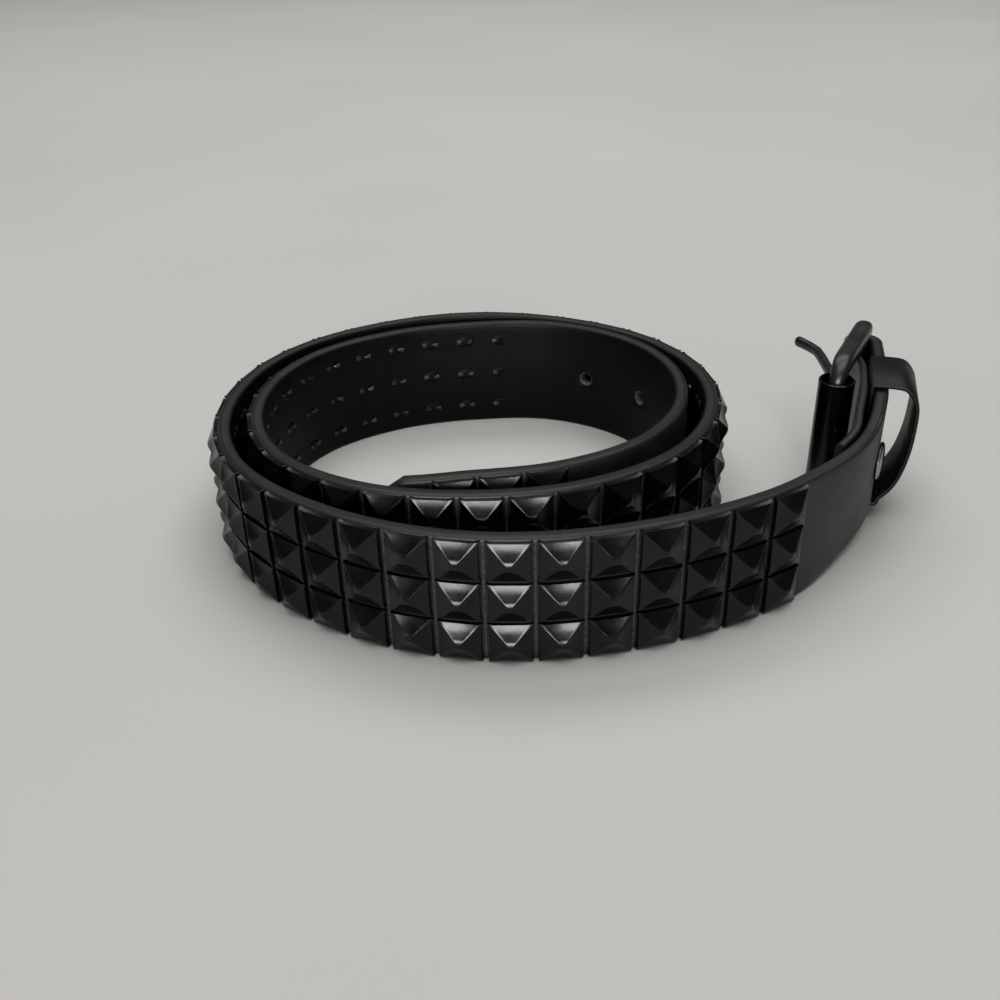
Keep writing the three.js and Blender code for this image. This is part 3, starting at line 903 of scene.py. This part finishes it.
# %% Stud fields
chance = random.Random(11)
FIRST_ROW = (STRAP_HEIGHT - 3 * STUD_BASE - 2 * STUD_ROW_GAP) / 2 + STUD_BASE / 2
row_heights = [FIRST_ROW + row * STUD_ROW_PITCH for row in range(3)]


def degrees_off(most):
    return math.radians(chance.uniform(-most, most))


def column_seat(left, right, outward, height):
    (a, _, _), (b, _, _) = place(left), place(right)
    ahead = (b - a).normalized()
    side = UP.cross(ahead)
    rise = (lift(left) + lift(right)) / 2
    return basis(ahead, side, UP, (a + b) / 2 + side * outward + UP * (height + rise))


def stud_field(name, start, columns, node_name):
    bm = bmesh.new()
    groove = (STUD_PITCH - STUD_BASE) / 2
    for column in range(columns):
        left = start + column * STUD_PITCH + groove
        for height in row_heights:
            tilt = Matrix.Rotation(degrees_off(1.1), 4, "X")
            twist = Matrix.Rotation(degrees_off(0.8), 4, "Z")
            at = column_seat(left, left + STUD_BASE, HALF_THICK, height)
            stamp(bm, stud_pattern, at @ tilt @ twist)
    piece(bm, name, lacquer, "belt", [node_name])


stud_field("studs_long_field", TAIL_PLAIN, MAIN_COLUMNS, "studs_main")
stud_field("studs_tip_field", TIP_FIELD_START, TIP_COLUMNS, "studs_tip")

# %% [markdown]
# Each stud is held by prongs that pass through the leather and are clinched over on the inner
# face, where they dent the lining and shine as small points. They are too small to need their
# own solids, so they ride with the strap as one mesh of flattened claws.

# %% Clinched prongs
PRONG_REACH = 4.7 * MM
PRONG_SINK = 0.12 * MM
prong_sections = [
    (-1.35, 0.6, 0.1), (-1.0, 0.85, 0.7), (0.0, 0.72, 0.8), (0.9, 0.4, 0.45), (1.3, 0.12, 0.05),
]


def make_prong():
    """A claw swept along X through sections of (place, half width, height) in millimetres."""
    bm = bmesh.new()
    turns = [k * math.pi / 3 for k in range(6)]
    rings = []
    for x, width, height in prong_sections:
        half = height * 0.5
        rings.append([Vector((x, half + half * math.sin(t), width * math.cos(t))) * MM for t in turns])
    sweep(bm, rings)
    harden(bm)
    return to_mesh(bm, "prong_pattern")


prong_pattern = make_prong()


def prongs():
    bm = bmesh.new()
    for start, columns in ((TAIL_PLAIN, MAIN_COLUMNS), (TIP_FIELD_START, TIP_COLUMNS)):
        middles = [start + (column + 0.5) * STUD_PITCH for column in range(columns)]
        for middle in middles:
            for height, sign in [(height, sign) for height in row_heights for sign in (-1, 1)]:
                at = seat(middle + sign * PRONG_REACH, -HALF_THICK + PRONG_SINK, height)
                turn = Matrix.Rotation(math.pi, 4, "Z") @ Matrix.Rotation(math.pi * (sign > 0), 4, "Y")
                slant = Matrix.Rotation(degrees_off(16), 4, "Y")
                stamp(bm, prong_pattern, at @ turn @ slant)
    piece(bm, "stud_prongs", prong_finish, "belt")


prongs()

# %% [markdown]
# The buckle frame is one casting: flat side bars above and below the strap, which narrow and
# bend into the round bar that the roller turns on. The heel bar that the strap folds round
# joins their other ends. It is swept through rings whose width and thickness change, because
# no single cylinder or box has that flowing bend.

# %% Buckle frame
FRAME_LENGTH = 34.4 * MM
FRAME_ANGLE = math.radians(15.2)
FRAME_HEIGHT = STRAP_HEIGHT + 2 * FRAME_LIFT
SIDE_WIDTH = 5.9 * MM
SIDE_THICK = 5.6 * MM
SIDE_SQUARE = 0.62
FRAME_BEND = 7.2 * MM
ROLLER_BAR_RADIUS = 2.3 * MM
frame_ahead = Matrix.Rotation(-FRAME_ANGLE, 3, "Z") @ heel_ahead
frame_place = basis(frame_ahead, UP.cross(frame_ahead), UP, heel_point)


def oval(centre, along, half_y, half_n, power):
    """A section across a direction in the XZ plane: round at a power of 1, squarer below it."""
    normal = Vector((-along.z, 0, along.x))
    points = []
    for k in range(16):
        turn = 2 * math.pi * k / 16
        c, s = math.cos(turn), math.sin(turn)
        y = math.copysign(abs(c) ** power, c) * half_y
        n = math.copysign(abs(s) ** power, s) * half_n
        points.append(centre + Vector((0, y, 0)) + normal * n)
    return points


def frame_rings():
    """From the heel end of the upper bar, round the roller's bar, to the heel end below."""
    high = FRAME_HEIGHT - SIDE_THICK / 2
    half_y, half_n = SIDE_WIDTH / 2, SIDE_THICK / 2
    forward = Vector((1, 0, 0))
    upper = []
    for k in range(6):
        turn = math.pi / 2 * k / 5
        full = max(0.16, math.sin(turn))
        centre = Vector((-half_y * math.cos(turn), 0, high))
        upper.append((centre, forward, half_y * full, half_n * (0.72 + 0.28 * full), SIDE_SQUARE))
    for share in (0.3, 0.6, 0.85, 1.0):
        centre = Vector((mix(0.0, FRAME_LENGTH - FRAME_BEND, share), 0, high))
        upper.append((centre, forward, half_y, half_n, SIDE_SQUARE))
    bend_centre = Vector((FRAME_LENGTH - FRAME_BEND, 0, high - FRAME_BEND))
    for k in range(1, 9):
        turn = math.pi / 2 * k / 8
        share = smooth(0, 1, k / 8)
        centre = bend_centre + Vector((math.sin(turn), 0, math.cos(turn))) * FRAME_BEND
        heading = Vector((math.cos(turn), 0, -math.sin(turn)))
        upper.append((centre, heading, mix(half_y, ROLLER_BAR_RADIUS, share),
                      mix(half_n, ROLLER_BAR_RADIUS, share), mix(SIDE_SQUARE, 1.0, share)))
    rings = [oval(*section) for section in upper]
    for centre, heading, y, n, power in reversed(upper):
        flipped = Vector((centre.x, 0, FRAME_HEIGHT - centre.z))
        rings.append(oval(flipped, Vector((-heading.x, 0, heading.z)), y, n, power))
    return rings


def buckle_frame():
    bm = bmesh.new()
    sweep(bm, frame_rings())
    bar = bmesh.ops.create_cone(bm, cap_ends=True, segments=20, radius1=BAR_RADIUS, radius2=BAR_RADIUS,
                                depth=FRAME_HEIGHT - SIDE_THICK)
    bmesh.ops.translate(bm, verts=bar["verts"], vec=(0, 0, FRAME_HEIGHT / 2))
    bmesh.ops.transform(bm, matrix=frame_place, verts=bm.verts)
    harden(bm)
    piece(bm, "buckle_casting", frame_finish, "frame", ["buckle_frame"])


buckle_frame()

# %% [markdown]
# The roller is a tube rolled from sheet, so its rim is thin and its ends are open. Its profile
# has small rounds at both rims and is spun about the bar.

# %% Roller
ROLLER_RADIUS = 5.4 * MM
ROLLER_WALL = 0.9 * MM
ROLLER_EDGE = 0.28 * MM
ROLLER_HALF = MID_HEIGHT + 0.05 * MM


def roller():
    bm = bmesh.new()
    inner, outer, edge, half = ROLLER_RADIUS - ROLLER_WALL, ROLLER_RADIUS, ROLLER_EDGE, ROLLER_HALF
    rim = [(inner, half - edge), (inner + edge, half), (outer - edge, half), (outer, half - edge)]
    profile = [(radius, -height) for radius, height in rim] + rim[::-1] + [(inner, edge - half)]
    middle = Matrix.Translation((FRAME_LENGTH, 0, FRAME_HEIGHT / 2))
    turned_profile(bm, profile, frame_place @ middle @ Matrix.Rotation(math.pi / 2, 4, "X"), 48)
    harden(bm)
    piece(bm, "roller_tube", roller_finish, "roller", ["roller"])


roller()

# %% [markdown]
# The tongue is one length of rod. It wraps round the heel bar, leaves it on a tangent, and its
# last part is bent to rest on the roller.

# %% Tongue
TONGUE_LENGTH = 44.4 * MM
TONGUE_ANGLE = math.radians(180 + 11.5)
TONGUE_TIP = 11 * MM
TONGUE_TIP_RISE = TONGUE_TIP * math.tan(math.radians(24))
TONGUE_RADIUS = 1.75 * MM
WRAP_RADIUS = FOLD_INNER + 0.9 * MM
LEAVING_RADIUS = WRAP_RADIUS + 0.1 * MM
WRAP_TURN = 285
WRAP_HALF = (0.88 * MM, 2.75 * MM)
LEAVING_HALF = (1.35 * MM, 2.1 * MM)
TIP_HALF = (1.65 * MM, 2.0 * MM)
tongue_ahead = Matrix.Rotation(TONGUE_ANGLE, 3, "Z") @ heel_ahead
tongue_place = basis(tongue_ahead, UP.cross(tongue_ahead), UP, heel_point + UP * (FRAME_LIFT + MID_HEIGHT))


def tongue_path():
    """Points with the section's half thickness and half height at each."""
    path = []
    for k in range(25):
        turn = math.radians(90 + WRAP_TURN * (1 - k / 24))
        ease = smooth(0.7, 1.0, k / 24)
        point = Vector((math.cos(turn), math.sin(turn), 0)) * mix(WRAP_RADIUS, LEAVING_RADIUS, ease)
        path.append((point, *(mix(a, b, ease) for a, b in zip(WRAP_HALF, LEAVING_HALF))))
    straight = TONGUE_LENGTH - TONGUE_TIP
    for share in (0.12, 0.3, 0.6, 0.9):
        width = mix(1.6 * MM, TONGUE_RADIUS, smooth(0, 0.3, share))
        path.append((Vector((straight * share, LEAVING_RADIUS, 0)), width, width))
    for k in range(1, 9):
        t = k / 8
        rise = TONGUE_TIP_RISE * (0.55 * t + 0.45 * t * t) if t > 0.2 else TONGUE_TIP_RISE * 0.5 * t
        point = Vector((straight + TONGUE_TIP * t, LEAVING_RADIUS + rise, 0))
        path.append((point, *(mix(TONGUE_RADIUS, half, t) for half in TIP_HALF)))
    for reach, share in ((0.45, 0.85), (0.75, 0.5)):
        path.append((point + Vector((reach, 0.45 * reach, 0)) * MM, *(half * share for half in TIP_HALF)))
    return path


def tongue():
    bm = bmesh.new()
    path = tongue_path()
    turns = [k * math.pi / 7 for k in range(14)]
    rings = []
    for index, (point, thick, tall) in enumerate(path):
        before = path[max(0, index - 1)][0]
        after = path[min(len(path) - 1, index + 1)][0]
        across = UP.cross((after - before).normalized())
        rings.append([point + across * (thick * math.cos(t)) + UP * (tall * math.sin(t)) for t in turns])
    sweep(bm, rings)
    bmesh.ops.transform(bm, matrix=tongue_place, verts=bm.verts)
    harden(bm)
    piece(bm, "tongue_rod", tongue_finish, "tongue", ["tongue"])


tongue()

# %% [markdown]
# The keeper is a strip of thinner leather sewn into a loop. It is tucked between the strap and
# its flap, lies close over both edges and bulges where it has been stretched. Its rounded section
# is swept round a smooth closed line, and the last ring is merged with the first.

# %% Keeper
KEEPER_START = 17 * MM
KEEPER_WIDTH = 22 * MM
KEEPER_BULGE = 9.4 * MM
KEEPER_EDGE = 0.3 * MM
KEEPER_OUTER_SIDE = -1
keeper_bends = [
    (0.36, 1.025), (0.67, 0.99), (0.9, 0.91), (0.985, 0.82), (1.0, 0.66),
    (0.965, 0.5), (0.86, 0.34), (0.69, 0.2), (0.46, 0.1), (0.21, 0.03),
]


def rounded_line(corners, steps):
    """A closed smooth line through the corners."""
    line = []
    for i in range(len(corners)):
        around = [Vector(corners[(i + k) % len(corners)]) for k in (-1, 0, 1, 2)]
        line += [curve_through(*around, step / steps) for step in range(steps)]
    return line


def keeper_line():
    """The loop's middle line, as (outward, height) from the strap's outer face."""
    half = KEEPER_THICKNESS / 2
    over = CLEARANCE + half
    tuck = -(STRAP_THICKNESS + over)
    top, corner = STRAP_HEIGHT + over, 1.1 * MM
    bulge = [(out * (KEEPER_BULGE - half), high * STRAP_HEIGHT) for out, high in keeper_bends]
    back = [
        (over, -over), (tuck + corner, -over), (tuck, -over + corner), (tuck, 0.3 * STRAP_HEIGHT),
        (tuck, 0.7 * STRAP_HEIGHT), (tuck, top - corner), (tuck + corner, top),
    ]
    return rounded_line(bulge + back, 4)


def keeper_rings(line):
    """The strip's rounded section at each point of its middle line."""
    half_x, half_t = KEEPER_WIDTH / 2, KEEPER_THICKNESS / 2
    corner = [(half_x - KEEPER_EDGE, half_t), (half_x, half_t - KEEPER_EDGE)]
    section = corner + [(x, -t) for x, t in reversed(corner)]
    section += [(-x, -t) for x, t in corner] + [(-x, t) for x, t in reversed(corner)]
    rings = []
    for i, point in enumerate(line):
        along = (line[(i + 1) % len(line)] - line[i - 1]).normalized()
        outward = Vector((along.y, -along.x)) * KEEPER_OUTER_SIDE
        rings.append([Vector((x, point.x + outward.x * t, point.y + outward.y * t)) for x, t in section])
    return rings


def rounded(point):
    return tuple(round(c, 7) for c in point)


def keeper():
    bm = bmesh.new()
    inside_mark = bm.verts.layers.float.new("inside")
    rings = keeper_rings(keeper_line())
    sweep(bm, rings, closed=True)
    inner = {rounded(point) for ring in rings for point in ring[2:6]}
    for vert in bm.verts:
        vert[inside_mark] = 1.0 if rounded(vert.co) in inner else 0.0
    bmesh.ops.transform(bm, matrix=seat(KEEPER_START + KEEPER_WIDTH / 2, HALF_THICK, 0), verts=bm.verts)
    harden(bm, math.radians(60))
    piece(bm, "keeper_loop", keeper_leather, "belt", ["keeper"])


keeper()

# %% [markdown]
# A snap closes the fold, so that the buckle can be taken off. Its domed cap shows on the outer
# face beside the keeper, its post runs through both layers, and its socket sits on the flap.
# Both are turned parts, so each is half a profile, spun about the snap's own axis.

# %% Snap
CAP_RADIUS = 5.8 * MM
POST_RADIUS = 1.7 * MM
SOCKET_RADIUS = 5.2 * MM
FLAP_BACK = -(HALF_THICK + flap_gap(SNAP_STATION) + FLAP_THICKNESS)


def snap_part(name, profile, replaced):
    bm = bmesh.new()
    turned_profile(bm, profile, seat(SNAP_STATION, 0, MID_HEIGHT), 36)
    harden(bm)
    piece(bm, name, snap_finish, "belt", [replaced])


def cap_profile():
    face = HALF_THICK + 0.05 * MM
    profile = [
        (0, FLAP_BACK), (POST_RADIUS, FLAP_BACK), (POST_RADIUS, face), (CAP_RADIUS - 0.4 * MM, face),
        (CAP_RADIUS, face + 0.35 * MM), (CAP_RADIUS - 0.15 * MM, face + 0.8 * MM),
    ]
    for k in range(1, 7):
        turn = math.pi / 2 * k / 6
        profile.append((CAP_RADIUS * 0.94 * math.cos(turn), face + (0.85 + 0.85 * math.sin(turn)) * MM))
    return profile


def socket_profile():
    face = FLAP_BACK - 0.1 * MM
    return [
        (0, face), (SOCKET_RADIUS, face), (SOCKET_RADIUS, face - 0.9 * MM),
        (SOCKET_RADIUS - 0.7 * MM, face - 1.3 * MM), (3.2 * MM, face - 1.3 * MM),
        (2.9 * MM, face - 2.2 * MM), (1.9 * MM, face - 2.3 * MM), (POST_RADIUS, face - 1.2 * MM),
        (0, face - 1.2 * MM),
    ]


snap_part("snap_dome", cap_profile(), "snap_cap")
snap_part("snap_socket_ring", socket_profile(), "snap_socket")

# %% [markdown]
# The floor is a plain pale cloth. It isn't part of the belt, so nothing rides on it.

# %% Floor
def floor_cloth():
    mat, shader = start_material("floor_cloth", (0.62, 0.61, 0.59), 0.9)
    coords = object_coords(mat)
    tone = ramp(mat, noise(mat, coords, 3, 2), [(0.3, (0.56, 0.552, 0.536)), (0.7, (0.6, 0.592, 0.575))])
    link(mat, tone, shader.inputs["Base Color"])
    bump(mat, shader, [(noise(mat, coords, 900, 2), 0.00012, 0.25)])
    return mat


def floor():
    bm = bmesh.new()
    bmesh.ops.create_grid(bm, x_segments=2, y_segments=2, size=4)
    shown(bm, "floor", floor_cloth())


floor()

# %% [markdown]
# Last, a line is printed to say that the scene is built.

# %% End
print("scene built")
